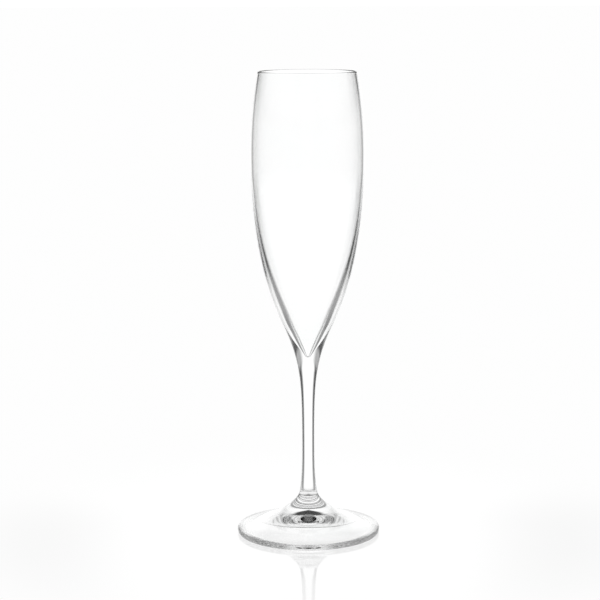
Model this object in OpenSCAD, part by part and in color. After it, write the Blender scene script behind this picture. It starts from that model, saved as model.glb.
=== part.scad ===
// Champagne flute: a tulip bowl, a drawn stem and a spread foot, three pieces of clear
// glass fused at two seams. Millimetres, +Z up, the origin at the centre of the face
// that it rests on. Every piece is turned about the Z axis.

/* [Bowl] */
// Height of the bowl from its seam edge on the stem up to the lip
bowl_h = 126; // [104:1:152]
// Outside diameter at the lip
lip_d = 48.2; // [40:0.2:58]
// Outside diameter at the belly, the widest part of the bowl
belly_d = 55.4; // [46:0.2:67]
// Drop from the lip down to the belly
belly_drop = 41; // [34:1:50]
// Glass thickness at the lip
lip_wall = 0.9; // [0.7:0.05:1.3]
// Glass thickness at the belly
belly_wall = 1.05; // [0.8:0.05:1.6]
// Lean of the inside's straight taper from the vertical, in degrees
inner_lean = 24.4; // [21:0.1:27]
// Height of the inside's straight taper above its floor
inner_taper_h = 25; // [16:0.5:32]
// Radius of the rounded point at the inside's floor
floor_r = 0.9; // [0.5:0.1:2]

/* [Seam of bowl and stem] */
// Outside diameter at the seam's edge
seam_d = 23.3; // [19:0.1:28]
// Lean of the outside from the vertical where it crosses the seam's edge, in degrees
seam_lean = 24; // [18:0.5:30]
// Drop from the seam's edge down to the inside's floor
floor_drop = 14.2; // [11:0.1:18]
// Glass of the bowl under its floor, down to the seam's tip
floor_wall = 2.6; // [1.5:0.1:4]
// Radius of the seam's rounded tip
seam_tip_r = 2.4; // [1.6:0.1:3.4]
// Clearance in both seams; none where the glass is fused
fuse_gap = 0; // [0:0.01:0.05]

/* [Stem] */
// Length of the stem from the foot's joint up to the seam's edge
stem_len = 84.3; // [68:0.1:104]
// Diameter at the waist, the thinnest part of the stem
waist_d = 6.22; // [5.2:0.02:7.6]
// Height of the waist above the foot's joint
waist_up = 22.4; // [18:0.1:32]

/* [Foot] */
// Outside diameter of the foot
foot_d = 71.2; // [58:0.2:86]
// Height of the foot, from the resting face up to its joint with the stem
foot_h = 19.7; // [16:0.1:24]
// Diameter of the joint with the stem
joint_d = 9.2; // [8.2:0.1:11.2]
// Lean of the outside from the vertical at the end of the stem, in degrees
joint_lean = 16; // [8:0.5:24]
// Lean of the foot's neck from the vertical under the joint, in degrees
neck_lean = 2; // [0:0.5:10]
// Thickness of the foot at its rim
foot_rim = 2.6; // [2.2:0.1:3.4]
// Radius of the rim's two rounded edges
rim_r = 0.9; // [0.6:0.05:1]
// Slope of the foot's top where it meets the rim, in degrees
foot_slope = 13; // [8:0.5:16]
// Width of the flat ring that the foot rests on
ring_w = 3.6; // [2:0.1:5]
// Height of the hollow under the foot at its centre
hollow_h = 8; // [6:0.1:9.5]
// Power of the hollow's curve: 1 is a cone, 2 is a bowl
hollow_power = 1.3; // [1.1:0.05:2]

/* [Hidden] */
$fn = 144;
glass_tint = [0.88, 0.94, 0.95, 0.35];
curve_steps = 28;
arc_steps = 10;

// how far a curve holds its direction at each end, as a share of its run
belly_hold = 0.65;
taper_hold = 0.06;
inner_belly_hold = 0.25;
flare_hold = 0.315;
upper_waist_hold = 0.58;
lower_waist_hold = 0.5;
joint_hold = 0.12;
neck_hold = 0.07;
sole_hold = 0.845;

// how far out the inside's taper holds its lean, as a share of the way to the belly's wall
inner_taper_reach = 0.916;

// heights that the pieces share
seam_z = foot_h + stem_len;
lip_z = seam_z + bowl_h;
belly_z = lip_z - belly_drop;
waist_z = foot_h + waist_up;
floor_z = seam_z - floor_drop;
seam_tip_z = floor_z - floor_wall;

// points of the outlines, as [radius, height]
seam_edge = [seam_d / 2, seam_z];
joint_edge = [joint_d / 2, foot_h];
waist = [waist_d / 2, waist_z];
belly_out = [belly_d / 2, belly_z];
belly_in = belly_out - [belly_wall, 0];
lip_centre = [(lip_d - lip_wall) / 2, lip_z - lip_wall / 2];
rim_low = [foot_d / 2 - rim_r, rim_r];
rim_high = [foot_d / 2 - rim_r, foot_rim - rim_r];

// unit vectors that lean outwards from straight up and from straight down
function up(lean) = [sin(lean), cos(lean)];
function down(lean) = [sin(lean), -cos(lean)];

// cubic curve from a to d with the handles b and c; its last point is left out
function curve(a, b, c, d) = [
    for (i = [0:curve_steps - 1]) let (t = i / curve_steps, s = 1 - t)
        s*s*s * a + 3*s*s*t * b + 3*s*t*t * c + t*t*t * d
];

// parabola from the belly, where it is upright, towards the lip; its last point is left out
function rise(low, high) = [
    for (i = [0:curve_steps - 1]) let (t = i / curve_steps)
        [low.x + (high.x - low.x) * t * t, low.y + (high.y - low.y) * t]
];

// arc about a centre from one angle to another, both ends included
function arc(centre, r, from, to) = [
    for (i = [0:arc_steps]) let (a = from + (to - from) * i / arc_steps)
        centre + r * [cos(a), sin(a)]
];

function back(points) = [for (i = [len(points) - 1:-1:0]) points[i]];
function off_axis(points) = [for (p = points) if (p.x > 0.01) p];
function raised(points, h) = [for (p = points) p + [0, h]];

// the seam's face from the axis out to its edge: a rounded tip, then the cone that touches it
seam_centre = [0, seam_tip_z + seam_tip_r];
edge_from_centre = seam_edge - seam_centre;
seam_turn = atan2(edge_from_centre.y, edge_from_centre.x)
    - acos(seam_tip_r / norm(edge_from_centre));
seam_face = concat([[0, seam_tip_z]],
    off_axis(arc(seam_centre, seam_tip_r, -90, seam_turn)));

// outside of the bowl, upwards
outer_run = belly_z - seam_z;
bowl_outside = concat(
    curve(seam_edge, seam_edge + taper_hold * outer_run * up(seam_lean),
        belly_out - [0, belly_hold * outer_run], belly_out),
    rise(belly_out, lip_centre + [lip_wall / 2, 0]));

// inside of the bowl, upwards: the rounded floor, the straight taper, the belly and the rise
floor_centre = [0, floor_z + floor_r];
apex_z = floor_centre.y - floor_r / sin(inner_lean);
taper_z = floor_z + inner_taper_h;
taper_top = [(taper_z - apex_z) * tan(inner_lean), taper_z];
inner_run = belly_z - taper_z;
taper_handle = inner_taper_reach * (belly_in.x - taper_top.x) / sin(inner_lean);
bowl_inside = concat(
    [[0, floor_z]], off_axis(arc(floor_centre, floor_r, -90, -inner_lean)),
    curve(taper_top, taper_top + taper_handle * up(inner_lean),
        belly_in - [0, inner_belly_hold * inner_run], belly_in),
    rise(belly_in, lip_centre - [lip_wall / 2, 0]));

// outside of the stem, upwards from the joint to the waist and the seam's edge
flare_run = seam_z - waist_z;
stem_outside = concat(
    curve(joint_edge, joint_edge - joint_hold * waist_up * down(joint_lean),
        waist - [0, lower_waist_hold * waist_up], waist),
    curve(waist, waist + [0, upper_waist_hold * flare_run],
        seam_edge - flare_hold * flare_run * up(seam_lean), seam_edge));

// top of the foot, outwards from the joint to the rim
rim_start = rim_high + rim_r * up(foot_slope);
sole_run = rim_start.x - joint_edge.x;
foot_top = curve(joint_edge, joint_edge + neck_hold * (foot_h - foot_rim) * down(neck_lean),
    rim_start - sole_hold * sole_run * down(90 - foot_slope), rim_start);

// the hollow under the foot, inwards from the flat ring
hollow_d = 2 * (rim_low.x - ring_w);
foot_hollow = [for (i = [0:curve_steps]) let (t = i / curve_steps)
    [hollow_d / 2 * (1 - t), hollow_h * (1 - pow(1 - t, hollow_power))]];

module bowl() {
    color(glass_tint) rotate_extrude() polygon(concat(
        seam_face, bowl_outside,
        arc(lip_centre, lip_wall / 2, 0, 180),
        back(bowl_inside)));
}

module stem() {
    color(glass_tint) rotate_extrude() polygon(concat(
        raised([[0, foot_h], joint_edge], fuse_gap),
        [for (i = [1:len(stem_outside) - 1]) stem_outside[i]],
        raised(back(concat(seam_face, [seam_edge])), -fuse_gap)));
}

module foot() {
    color(glass_tint) rotate_extrude() polygon(concat(
        [[0, foot_h]], foot_top,
        arc(rim_high, rim_r, 90 - foot_slope, 0),
        arc(rim_low, rim_r, 0, -90),
        off_axis(foot_hollow), [[0, hollow_h]]));
}

bowl();
stem();
foot();
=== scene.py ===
from math import acos, atan2, cos, degrees, hypot, pi, radians, sin, tan

import bmesh
import bpy
from mathutils import Matrix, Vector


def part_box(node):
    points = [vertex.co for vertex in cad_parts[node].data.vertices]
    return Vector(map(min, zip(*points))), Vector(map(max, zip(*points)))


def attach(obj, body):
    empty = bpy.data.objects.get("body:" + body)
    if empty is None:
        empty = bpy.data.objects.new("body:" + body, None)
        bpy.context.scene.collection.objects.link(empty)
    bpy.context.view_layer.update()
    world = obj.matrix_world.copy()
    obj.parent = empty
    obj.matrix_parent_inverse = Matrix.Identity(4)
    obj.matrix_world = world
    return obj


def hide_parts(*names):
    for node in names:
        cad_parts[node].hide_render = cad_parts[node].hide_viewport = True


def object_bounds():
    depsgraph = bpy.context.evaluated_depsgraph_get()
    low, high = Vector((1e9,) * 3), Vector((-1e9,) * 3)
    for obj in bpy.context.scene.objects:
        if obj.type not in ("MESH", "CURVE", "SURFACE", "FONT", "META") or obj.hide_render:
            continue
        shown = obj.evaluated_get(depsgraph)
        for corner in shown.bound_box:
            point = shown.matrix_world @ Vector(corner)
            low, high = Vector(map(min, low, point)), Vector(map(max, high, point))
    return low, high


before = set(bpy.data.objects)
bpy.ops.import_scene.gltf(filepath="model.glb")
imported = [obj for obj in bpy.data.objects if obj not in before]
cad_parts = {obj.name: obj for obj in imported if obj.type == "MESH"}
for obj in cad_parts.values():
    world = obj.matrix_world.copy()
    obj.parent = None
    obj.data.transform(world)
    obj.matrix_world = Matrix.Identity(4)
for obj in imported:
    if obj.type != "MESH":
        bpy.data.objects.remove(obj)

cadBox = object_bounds()
mm = 0.001

# places that the frame already settles, in mm
flute = {
    "lipZ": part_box("bowl")[1].z / mm,
    "bellyRadius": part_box("bowl")[1].x / mm,
    "seamTipZ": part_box("bowl")[0].z / mm,
    "seamZ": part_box("stem")[1].z / mm,
    "seamRadius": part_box("stem")[1].x / mm,
    "jointZ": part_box("foot")[1].z / mm,
    "footRadius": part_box("foot")[1].x / mm,
}
print("frame loaded, flute is", round(flute["lipZ"], 1), "mm tall")


class Wire:
    # a socket that takes part in sums, so that 1 - mask adds its own Math node
    def __init__(self, graph, socket):
        self.graph = graph
        self.socket = socket

    def of(self, name):
        # another output of the same node
        return Wire(self.graph, self.socket.node.outputs[name])

    def sum(self, operation, *values):
        # any Math operation, on this socket alone when no values are given
        node = self.graph.tree.nodes.new("ShaderNodeMath")
        node.operation = operation
        for slot, value in zip(node.inputs, values or [self]):
            self.graph.plug(slot, value)
        return Wire(self.graph, node.outputs[0])

    def __add__(self, other):
        return self.sum("ADD", self, other)

    def __radd__(self, other):
        return self.sum("ADD", other, self)

    def __sub__(self, other):
        return self.sum("SUBTRACT", self, other)

    def __rsub__(self, other):
        return self.sum("SUBTRACT", other, self)

    def __mul__(self, other):
        return self.sum("MULTIPLY", self, other)

    def __rmul__(self, other):
        return self.sum("MULTIPLY", other, self)

    def __truediv__(self, other):
        return self.sum("DIVIDE", self, other)

    def __mod__(self, other):
        return self.sum("MODULO", self, other)

    def __pow__(self, other):
        return self.sum("POWER", self, other)

    def __gt__(self, other):
        return self.sum("GREATER_THAN", self, other)


class Graph:
    # one node tree, whose nodes other than Math all come from add()
    def __init__(self, tree):
        self.tree = tree

    def plug(self, slot, value):
        if isinstance(value, Wire):
            self.tree.links.new(value.socket, slot)
        else:
            slot.default_value = value

    def add(self, kind, settings, inputs, out=0):
        node = self.tree.nodes.new(kind)
        for name, value in settings.items():
            setattr(node, name, value)
        for name, value in inputs.items():
            self.plug(node.inputs[name], value)
        return Wire(self, node.outputs[out]) if node.outputs else None

    def ramp(self, value, start, end, low=0.0, high=1.0):
        # eases from low to high while the value goes from start to end
        return self.add("ShaderNodeMapRange", {"interpolation_type": "SMOOTHSTEP"}, {
            "Value": value, "From Min": start, "From Max": end, "To Min": low, "To Max": high})

    def noise(self, place, scale, detail=2.0):
        # the scale counts bumps per metre along x, y and z
        spot = self.add("ShaderNodeVectorMath", {"operation": "MULTIPLY"}, {0: place, 1: scale})
        return self.add("ShaderNodeTexNoise", {}, {"Vector": spot, "Scale": 1.0, "Detail": detail})


# outline helpers; every point is (radius, height) in mm

def arc(centre, radius, start, end, steps):
    turns = [radians(start + (end - start) * i / steps) for i in range(steps + 1)]
    return [(centre[0] + radius * cos(turn), centre[1] + radius * sin(turn)) for turn in turns]


def line(a, b, steps):
    # without its last point, as the two below
    return [(a[0] + (b[0] - a[0]) * i / steps, a[1] + (b[1] - a[1]) * i / steps) for i in range(steps)]


def curve(a, b, c, d, steps):
    # cubic from a to d with the handles b and c
    points = []
    for i in range(steps):
        t = i / steps
        s = 1 - t
        weights = (s ** 3, 3 * s * s * t, 3 * s * t * t, t ** 3)
        points.append(tuple(sum(w * p[k] for w, p in zip(weights, (a, b, c, d))) for k in (0, 1)))
    return points


def rise(low, high, steps):
    # parabola that leaves the belly upright
    shares = [i / steps for i in range(steps)]
    return [(low[0] + (high[0] - low[0]) * t * t, low[1] + (high[1] - low[1]) * t) for t in shares]


def lean(start, length, angle):
    # the point this far from start, angle degrees outwards from straight up
    return (start[0] + length * sin(radians(angle)), start[1] + length * cos(radians(angle)))


def makeLathe():
    # turns an outline of loose edges about z: a grid, one column of it per step of the turn
    tree = bpy.data.node_groups.new("latheGlass", "GeometryNodeTree")
    face = tree.interface
    face.new_socket("Geometry", in_out="INPUT", socket_type="NodeSocketGeometry")
    face.new_socket("Segments", in_out="INPUT", socket_type="NodeSocketInt")
    face.new_socket("Corner Angle", in_out="INPUT", socket_type="NodeSocketFloat")
    face.new_socket("Weld", in_out="INPUT", socket_type="NodeSocketFloat")
    face.new_socket("Glass", in_out="INPUT", socket_type="NodeSocketMaterial")
    face.new_socket("Fused Face", in_out="INPUT", socket_type="NodeSocketMaterial")
    face.new_socket("Geometry", in_out="OUTPUT", socket_type="NodeSocketGeometry")
    graph = Graph(tree)
    outline = graph.add("NodeGroupInput", {}, {})
    count = graph.add("GeometryNodeAttributeDomainSize", {"component": "MESH"}, {"Geometry": outline})
    grid = graph.add("GeometryNodeMeshGrid", {}, {
        "Size X": 1.0, "Size Y": 1.0, "Vertices X": outline.of("Segments") + 1, "Vertices Y": count})

    # each grid point takes its radius and height from its row's point of the outline
    index = graph.add("GeometryNodeInputIndex", {}, {})
    here = graph.add("GeometryNodeInputPosition", {}, {})
    place = graph.add("GeometryNodeSampleIndex", {"data_type": "FLOAT_VECTOR", "domain": "POINT"}, {
        "Geometry": outline, "Value": here, "Index": index % count})
    radius = graph.add("ShaderNodeSeparateXYZ", {}, {0: place})
    column = (index / count).sum("FLOOR")
    angle = column * (2 * pi) / outline.of("Segments")
    position = graph.add("ShaderNodeCombineXYZ", {}, {
        "X": radius * angle.sum("COSINE"), "Y": radius * angle.sum("SINE"), "Z": radius.of("Z")})
    turned = graph.add("GeometryNodeSetPosition", {}, {"Geometry": grid, "Position": position})

    # faces keep the flag of their row, which marks the ones fused to another piece
    flag = graph.add("GeometryNodeInputNamedAttribute", {"data_type": "FLOAT"}, {"Name": "fused"})
    fused = graph.add("GeometryNodeSampleIndex", {"data_type": "FLOAT", "domain": "POINT"}, {
        "Geometry": outline, "Value": flag, "Index": index % (count - 1)})
    flagged = graph.add("GeometryNodeStoreNamedAttribute", {"data_type": "FLOAT", "domain": "FACE"}, {
        "Geometry": turned, "Name": "fused", "Value": fused})
    welded = graph.add("GeometryNodeMergeByDistance", {}, {
        "Geometry": flagged, "Distance": outline.of("Weld")})
    smooth = graph.add("GeometryNodeSetShadeSmooth", {"domain": "FACE"}, {
        "Geometry": welded, "Shade Smooth": True})
    corner = graph.add("GeometryNodeInputMeshEdgeAngle", {}, {}) > outline.of("Corner Angle")
    creased = graph.add("GeometryNodeSetShadeSmooth", {"domain": "EDGE"}, {
        "Geometry": smooth, "Selection": corner, "Shade Smooth": False})
    real = graph.add("GeometryNodeRealizeInstances", {}, {"Geometry": creased})
    glassed = graph.add("GeometryNodeSetMaterial", {}, {
        "Geometry": real, "Material": outline.of("Glass")})
    both = graph.add("GeometryNodeSetMaterial", {}, {
        "Geometry": glassed, "Selection": flag > 0.5, "Material": outline.of("Fused Face")})
    graph.add("NodeGroupOutput", {}, {"Geometry": both})
    return tree


def setInput(modifier, name, value):
    for item in modifier.node_group.interface.items_tree:
        if item.item_type == "SOCKET" and item.in_out == "INPUT" and item.name == name:
            modifier[item.identifier] = value
            return
    raise KeyError(name)


latheSizes = {"segments": 256, "cornerAngle": 20, "weld": 0.0005}     # degrees, mm


def turnPiece(node, stretches, glass):
    # the stretches are (points, fused) pairs, from the axis outwards and back to it
    points = []
    flags = []
    for stretch, fused in stretches:
        points += stretch
        flags += [float(fused)] * len(stretch)
    name = node + "Glass"
    mesh = bpy.data.meshes.new(name + "Outline")
    places = [(x * mm, 0, z * mm) for x, z in points]
    edges = [(i, i + 1) for i in range(len(points) - 1)]
    mesh.from_pydata(places, edges, [])
    mesh.attributes.new("fused", "FLOAT", "POINT").data.foreach_set("value", flags)
    piece = bpy.data.objects.new(name, mesh)
    bpy.context.scene.collection.objects.link(piece)
    modifier = piece.modifiers.new("lathe", "NODES")
    modifier.node_group = lathe
    setInput(modifier, "Segments", latheSizes["segments"])
    setInput(modifier, "Corner Angle", radians(latheSizes["cornerAngle"]))
    setInput(modifier, "Weld", latheSizes["weld"] * mm)
    setInput(modifier, "Glass", glass)
    setInput(modifier, "Fused Face", fusedFace)

    # the turned mesh becomes plain, with its faces looking outwards
    evaluated = piece.evaluated_get(bpy.context.evaluated_depsgraph_get())
    plain = bpy.data.meshes.new_from_object(evaluated)
    piece.modifiers.remove(modifier)
    piece.data = plain
    plain.name = name
    shape = bmesh.new()
    shape.from_mesh(plain)
    bmesh.ops.recalc_face_normals(shape, faces=shape.faces)
    volume = shape.calc_volume(signed=True) / mm ** 3
    triangles = sum(len(face.verts) - 2 for face in shape.faces)
    openEdges = sum(1 for edge in shape.edges if len(edge.link_faces) != 2)
    shape.to_mesh(plain)
    shape.free()
    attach(piece, "root")
    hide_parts(node)
    print(name, triangles, "triangles,", round(volume), "mm3,", openEdges, "open edges")


def emptyMaterial(name):
    material = bpy.data.materials.new(name)
    material.use_nodes = True
    material.node_tree.nodes.clear()
    return material, Graph(material.node_tree)


# what the three pieces' glass shares; a scale counts bumps per metre, and a span is of the noise's value
glassLook = {
    "ior": 1.52,
    "cloudScale": (35, 35, 35), "cloudSpan": (0.35, 0.65),
    "touchScale": (60, 60, 45), "touchDetail": 5.0, "touchSpan": (0.52, 0.7),
    "skinScale": (2200, 2200, 2200), "skinDetail": 1.0, "skinSpan": (0.3, 0.7),
}


def makeGlass(name, finish, makeMarks):
    # makeMarks gives the relief left by the making, and how worn the surface is, both 0 to 1
    look = glassLook
    material, graph = emptyMaterial(name)
    place = graph.add("ShaderNodeTexCoord", {}, {}, "Object")
    relief, worn = makeMarks(graph, place)
    cloud = graph.ramp(graph.noise(place, look["cloudScale"]), *look["cloudSpan"])
    tint = graph.add("ShaderNodeMix", {"data_type": "RGBA"}, {
        "Factor": cloud, 6: (1, 1, 1, 1), 7: finish["tint"]}, 2)     # 6, 7 and 2 are its colours
    touched = graph.ramp(graph.noise(place, look["touchScale"], look["touchDetail"]), *look["touchSpan"])
    skin = graph.ramp(graph.noise(place, look["skinScale"], look["skinDetail"]), *look["skinSpan"])
    roughness = touched * skin * finish["smudge"] + worn * skin * finish["wear"]
    bump = graph.add("ShaderNodeBump", {}, {
        "Strength": 1.0, "Distance": finish["relief"] * mm, "Height": relief})
    surface = graph.add("ShaderNodeBsdfPrincipled", {}, {
        "Base Color": tint, "Roughness": roughness, "IOR": look["ior"],
        "Transmission Weight": 1.0, "Normal": bump})
    graph.add("ShaderNodeOutputMaterial", {}, {"Surface": surface})
    return material


# the seam faces inside the glass show nothing, so that light crosses from piece to piece
fusedFace, fusedGraph = emptyMaterial("fusedFace")
fusedGraph.add("ShaderNodeOutputMaterial", {}, {
    "Surface": fusedGraph.add("ShaderNodeBsdfPrincipled", {}, {"Alpha": 0.0})})
lathe = makeLathe()
print("lathe ready, with", latheSizes["segments"], "segments")

# sizes are mm and degrees, and a hold is the share of a run for which a curve keeps to its lean
bowl = {
    "lipWidth": 48.2, "lipWall": 0.9,
    "bellyDrop": 41.0, "bellyWall": 1.05,       # drop from the lip
    "innerLean": 24.4, "innerTaper": 25.0,      # the inside's straight taper
    "floorRound": 0.9, "floorDrop": 14.2,       # drop from the seam's edge
    "seamLean": 24.0, "seamTipRound": 2.4,
    "taperHold": 0.06, "bellyHold": 0.65, "innerTaperReach": 0.916, "innerBellyHold": 0.25,
    "tipSteps": 20, "coneSteps": 10, "outsideSteps": 80, "riseSteps": 40, "lipSteps": 16,
    "floorSteps": 12, "taperSteps": 12, "insideSteps": 60,
    "tint": (0.995, 1, 0.999, 1), "smudge": 0.02, "wear": 0.06, "relief": 0.006,
    "ringScale": (25, 25, 260), "washedBand": 4.0,      # bumps per metre, mm under the lip
}

# the seam's face, upwards and outwards: a rounded tip and the cone that touches it
seamEdge = (flute["seamRadius"], flute["seamZ"])
tipRound = bowl["seamTipRound"]
tipCentre = (0, flute["seamTipZ"] + tipRound)
across = seamEdge[0]
up = seamEdge[1] - tipCentre[1]
tipTurn = atan2(up, across) - acos(tipRound / hypot(across, up))
tipArc = arc(tipCentre, tipRound, -90, degrees(tipTurn), bowl["tipSteps"])
seamFace = tipArc[:-1] + line(tipArc[-1], seamEdge, bowl["coneSteps"])


def bowlOutline(size):
    bellyZ = flute["lipZ"] - size["bellyDrop"]
    lipRound = size["lipWall"] / 2
    lipCentre = (size["lipWidth"] / 2 - lipRound, flute["lipZ"] - lipRound)
    bellyOut = (flute["bellyRadius"], bellyZ)
    run = bellyZ - flute["seamZ"]
    outside = curve(seamEdge, lean(seamEdge, size["taperHold"] * run, size["seamLean"]),
                    (bellyOut[0], bellyZ - size["bellyHold"] * run), bellyOut, size["outsideSteps"])
    outside += rise(bellyOut, (lipCentre[0] + lipRound, lipCentre[1]), size["riseSteps"])
    lip = arc(lipCentre, lipRound, 0, 180, size["lipSteps"])

    # the inside: a rounded floor, a straight taper, the belly and the rise to the lip
    floorZ = flute["seamZ"] - size["floorDrop"]
    floorRound = size["floorRound"]
    floor = arc((0, floorZ + floorRound), floorRound, -90, -size["innerLean"], size["floorSteps"])
    apexZ = floorZ + floorRound - floorRound / sin(radians(size["innerLean"]))
    taperZ = floorZ + size["innerTaper"]
    taperTop = ((taperZ - apexZ) * tan(radians(size["innerLean"])), taperZ)
    bellyIn = (bellyOut[0] - size["bellyWall"], bellyZ)
    innerRun = bellyZ - taperZ
    taperHandle = size["innerTaperReach"] * (bellyIn[0] - taperTop[0]) / sin(radians(size["innerLean"]))
    inside = floor[:-1] + line(floor[-1], taperTop, size["taperSteps"])
    inside += curve(taperTop, lean(taperTop, taperHandle, size["innerLean"]),
                    (bellyIn[0], bellyZ - size["innerBellyHold"] * innerRun), bellyIn, size["insideSteps"])
    inside += rise(bellyIn, (lipCentre[0] - lipRound, lipCentre[1]), size["riseSteps"])
    return [(seamFace, True), (outside + lip + inside[::-1], False)]


def bowlMarks(graph, place):
    # faint level rings from blowing in a turning mould, and a lip touched by every washing
    height = graph.add("ShaderNodeSeparateXYZ", {}, {0: place}).of("Z")
    lipZ = flute["lipZ"] * mm
    return graph.noise(place, bowl["ringScale"]), graph.ramp(height, lipZ - bowl["washedBand"] * mm, lipZ)


turnPiece("bowl", bowlOutline(bowl), makeGlass("bowlGlass", bowl, bowlMarks))

stem = {
    "waist": 6.22, "waistUp": 22.4,             # height of the waist above the joint
    "joint": 9.2, "jointLean": 16.0,
    "jointHold": 0.12, "lowerWaistHold": 0.5, "upperWaistHold": 0.58, "flareHold": 0.315,
    "jointSteps": 6, "lowerSteps": 40, "upperSteps": 70,
    "tint": (0.993, 1, 0.998, 1), "smudge": 0.03, "wear": 0.0, "relief": 0.004,
    "streakScale": (380, 380, 14),
}
jointEdge = (stem["joint"] / 2, flute["jointZ"])
jointFace = line((0, flute["jointZ"]), jointEdge, stem["jointSteps"])


def stemOutline(size):
    waist = (size["waist"] / 2, flute["jointZ"] + size["waistUp"])
    flare = flute["seamZ"] - waist[1]
    outside = curve(jointEdge, lean(jointEdge, size["jointHold"] * size["waistUp"], -size["jointLean"]),
                    (waist[0], waist[1] - size["lowerWaistHold"] * size["waistUp"]), waist,
                    size["lowerSteps"])
    outside += curve(waist, (waist[0], waist[1] + size["upperWaistHold"] * flare),
                     lean(seamEdge, -size["flareHold"] * flare, bowl["seamLean"]), seamEdge,
                     size["upperSteps"])
    return [(jointFace, True), (outside, False), ([seamEdge] + seamFace[::-1], True)]


def stemMarks(graph, place):
    # long streaks from drawing the stem out of the bowl
    return graph.noise(place, stem["streakScale"]), 0.0


turnPiece("stem", stemOutline(stem), makeGlass("stemGlass", stem, stemMarks))

foot = {
    "neckLean": 2.0, "neckHold": 0.07, "soleHold": 0.845, "slope": 13.0,
    "rim": 2.6, "rimRound": 0.9, "ring": 3.6,
    "hollow": 8.0, "hollowPower": 1.3,          # between a cone, 1, and a bowl, 2
    "topSteps": 120, "rimTopSteps": 10, "rimSoleSteps": 12, "hollowSteps": 60,
    "tint": (0.993, 1, 0.998, 1), "smudge": 0.02, "wear": 0.3, "relief": 0.006,
    "rippleScale": 320, "driftScale": 30,       # ripples outwards, and how they wander
    "scuffTop": 0.3, "scuffFull": 0.02,         # heights where the scuffs start and are full
}


def footOutline(size):
    rimRound = size["rimRound"]
    rimX = flute["footRadius"] - rimRound
    rimHigh = (rimX, size["rim"] - rimRound)
    rimStart = lean(rimHigh, rimRound, size["slope"])
    run = rimStart[0] - jointEdge[0]
    neck = lean(jointEdge, -size["neckHold"] * (flute["jointZ"] - size["rim"]), -size["neckLean"])
    sole = lean(rimStart, -size["soleHold"] * run, 90 + size["slope"])
    top = curve(jointEdge, neck, sole, rimStart, size["topSteps"])
    rim = arc(rimHigh, rimRound, 90 - size["slope"], 0, size["rimTopSteps"])
    rim += arc((rimX, rimRound), rimRound, 0, -90, size["rimSoleSteps"])
    steps = size["hollowSteps"]
    shares = [i / steps for i in range(steps, -1, -1)]
    hollow = [((rimX - size["ring"]) * t, size["hollow"] * (1 - t ** size["hollowPower"])) for t in shares]
    return [(jointFace, True), (top + rim + hollow, False)]


def footMarks(graph, place):
    # ripples from spreading the hot foot, and a resting ring scuffed by tables
    axes = graph.add("ShaderNodeSeparateXYZ", {}, {0: place})
    radius = (axes * axes + axes.of("Y") * axes.of("Y")) ** 0.5
    drift = foot["driftScale"]
    around = graph.add("ShaderNodeCombineXYZ", {}, {
        "X": radius * foot["rippleScale"], "Y": axes.of("Y") * drift, "Z": axes * drift})
    ripples = graph.add("ShaderNodeTexNoise", {}, {"Vector": around, "Scale": 1.0})
    return ripples, graph.ramp(axes.of("Z"), foot["scuffTop"] * mm, foot["scuffFull"] * mm)


turnPiece("foot", footOutline(foot), makeGlass("footGlass", foot, footMarks))

scene = bpy.context.scene
height = cadBox[1].z
cameraSizes = {
    "distance": 3.951, "height": 1.170,         # in flute heights
    "lens": 111.84, "sensor": 36.0, "pitch": 9.46, "yaw": 0.243, "roll": -0.22,
}
cameraData = bpy.data.cameras.new("camera")
cameraData.lens = cameraSizes["lens"]
cameraData.sensor_width = cameraSizes["sensor"]
camera = bpy.data.objects.new("camera", cameraData)
scene.collection.objects.link(camera)
scene.camera = camera
camera.location = (0, -cameraSizes["distance"] * height, cameraSizes["height"] * height)
aim = Matrix.Rotation(radians(cameraSizes["yaw"]), 4, "Z")
aim = aim @ Matrix.Rotation(radians(90 - cameraSizes["pitch"]), 4, "X")
aim = aim @ Matrix.Rotation(radians(cameraSizes["roll"]), 4, "Z")
camera.rotation_mode = "QUATERNION"
camera.rotation_quaternion = aim.to_quaternion()
print("camera placed", round(camera.location.length * 1000), "mm from the foot")


def makeStage(name, shape, material):
    mesh = bpy.data.meshes.new(name)
    shape.to_mesh(mesh)
    shape.free()
    mesh.materials.append(material)
    thing = bpy.data.objects.new(name, mesh)
    scene.collection.objects.link(thing)
    return thing


# a lit white table with a soft sheen, which the glass itself doesn't see
tableLook = {
    "glow": 0.99, "sheen": 0.24, "roughness": 0.04,
    "sheenSpan": (0.19, 0.07),                  # metres from the flute: no sheen, and all of it
    "halfWidth": 30.0, "drop": 0.02,            # metres, and mm under the foot
}
table, graph = emptyMaterial("litTable")
glow = graph.add("ShaderNodeEmission", {}, {"Color": (1, 1, 1, 1), "Strength": tableLook["glow"]})
gloss = graph.add("ShaderNodeBsdfGlossy", {}, {"Color": (1, 1, 1, 1), "Roughness": tableLook["roughness"]})
spot = graph.add("ShaderNodeSeparateXYZ", {}, {0: graph.add("ShaderNodeTexCoord", {}, {}, "Object")})
away = (spot * spot + spot.of("Y") * spot.of("Y")) ** 0.5
share = graph.ramp(away, *tableLook["sheenSpan"]) * tableLook["sheen"]
mixed = graph.add("ShaderNodeMixShader", {}, {0: share, 1: glow, 2: gloss})
graph.add("ShaderNodeOutputMaterial", {}, {"Surface": mixed})
sheet = bmesh.new()
bmesh.ops.create_grid(sheet, x_segments=1, y_segments=1, size=tableLook["halfWidth"])
floor = makeStage("floor", sheet, table)
floor.location.z = -tableLook["drop"] * mm
floor.visible_transmission = False
floor.visible_glossy = False
floor.visible_diffuse = False

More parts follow.
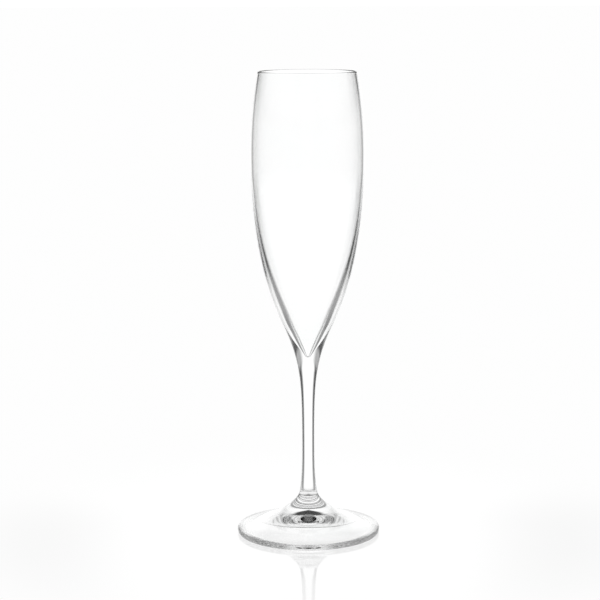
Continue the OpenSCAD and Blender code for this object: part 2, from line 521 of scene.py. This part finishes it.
# the light tent: a white backdrop, black flags beside it and lamps at the sides
# toFlag, narrower and toLamp are degrees round from straight behind, the other spans degrees up
tentLook = {
    "radius": 0.5, "ahead": 0.92, "subdivisions": 4,    # metres, ahead of the camera
    "backdrop": 1.08, "under": 0.25, "underSpan": (-32, -50), "top": 0.03, "topSpan": (15, 29),
    "flag": 0.02, "flagLow": 0.45, "lowSpan": (-10, -54), "flagMid": 0.42, "flagHigh": 0.03,
    "lamp": 0.92, "lampMid": 0.57, "lampHigh": 0.3,
    "midSpan": (-4, 2), "highSpan": (9, 15),
    "toFlag": (22, 38), "narrower": 9, "toLamp": (52, 68),
}
tentLight, graph = emptyMaterial("tentLight")
place = graph.add("ShaderNodeTexCoord", {}, {}, "Object")
axes = graph.add("ShaderNodeSeparateXYZ", {}, {0: place})
ahead = axes.of("Z") * -1
azimuth = ahead.sum("ARCTAN2", axes.sum("ABSOLUTE"), ahead) * degrees(1)
level = (axes * axes + ahead * ahead) ** 0.5
elevation = level.sum("ARCTAN2", axes.of("Y"), level) * degrees(1)


def blend(value, span, low, high):
    share = graph.ramp(value, *span)
    return low + share * (high - low)


backdrop = blend(elevation, tentLook["underSpan"], tentLook["backdrop"], tentLook["under"])
backdrop = blend(elevation, tentLook["topSpan"], backdrop, tentLook["top"])
flags = blend(elevation, tentLook["lowSpan"], tentLook["flag"], tentLook["flagLow"])
flags = blend(elevation, tentLook["midSpan"], flags, tentLook["flagMid"])
flags = blend(elevation, tentLook["highSpan"], flags, tentLook["flagHigh"])
lamps = blend(elevation, tentLook["midSpan"], tentLook["lamp"], tentLook["lampMid"])
lamps = blend(elevation, tentLook["highSpan"], lamps, tentLook["lampHigh"])
edge = azimuth + graph.ramp(elevation, *tentLook["midSpan"]) * tentLook["narrower"]
strength = blend(edge, tentLook["toFlag"], backdrop, flags)
strength = blend(azimuth, tentLook["toLamp"], strength, lamps)
surface = graph.add("ShaderNodeEmission", {}, {"Color": (1, 1, 1, 1), "Strength": strength})
graph.add("ShaderNodeOutputMaterial", {}, {"Surface": surface})

ball = bmesh.new()
bmesh.ops.create_icosphere(ball, subdivisions=tentLook["subdivisions"], radius=tentLook["radius"])
tent = makeStage("tent", ball, tentLight)
tent.parent = camera
tent.location = (0, 0, -tentLook["ahead"])
tent.rotation_euler.x = radians(cameraSizes["pitch"])    # level while the camera looks down
tent.visible_camera = False
tent.visible_diffuse = False
tent.visible_shadow = False

studio = {"white": 1.04, "clearBounces": 48, "mirrorBounces": 24, "throughBounces": 24}
world = bpy.data.worlds.new("studio")
scene.world = world
world.use_nodes = True
world.node_tree.nodes["Background"].inputs["Color"].default_value = (1, 1, 1, 1)
world.node_tree.nodes["Background"].inputs["Strength"].default_value = studio["white"]
scene.view_settings.view_transform = "Standard"
scene.cycles.max_bounces = studio["clearBounces"]
scene.cycles.transmission_bounces = studio["clearBounces"]
scene.cycles.glossy_bounces = studio["mirrorBounces"]
scene.cycles.transparent_max_bounces = studio["throughBounces"]
scene.cycles.blur_glossy = 0
print("studio lit")
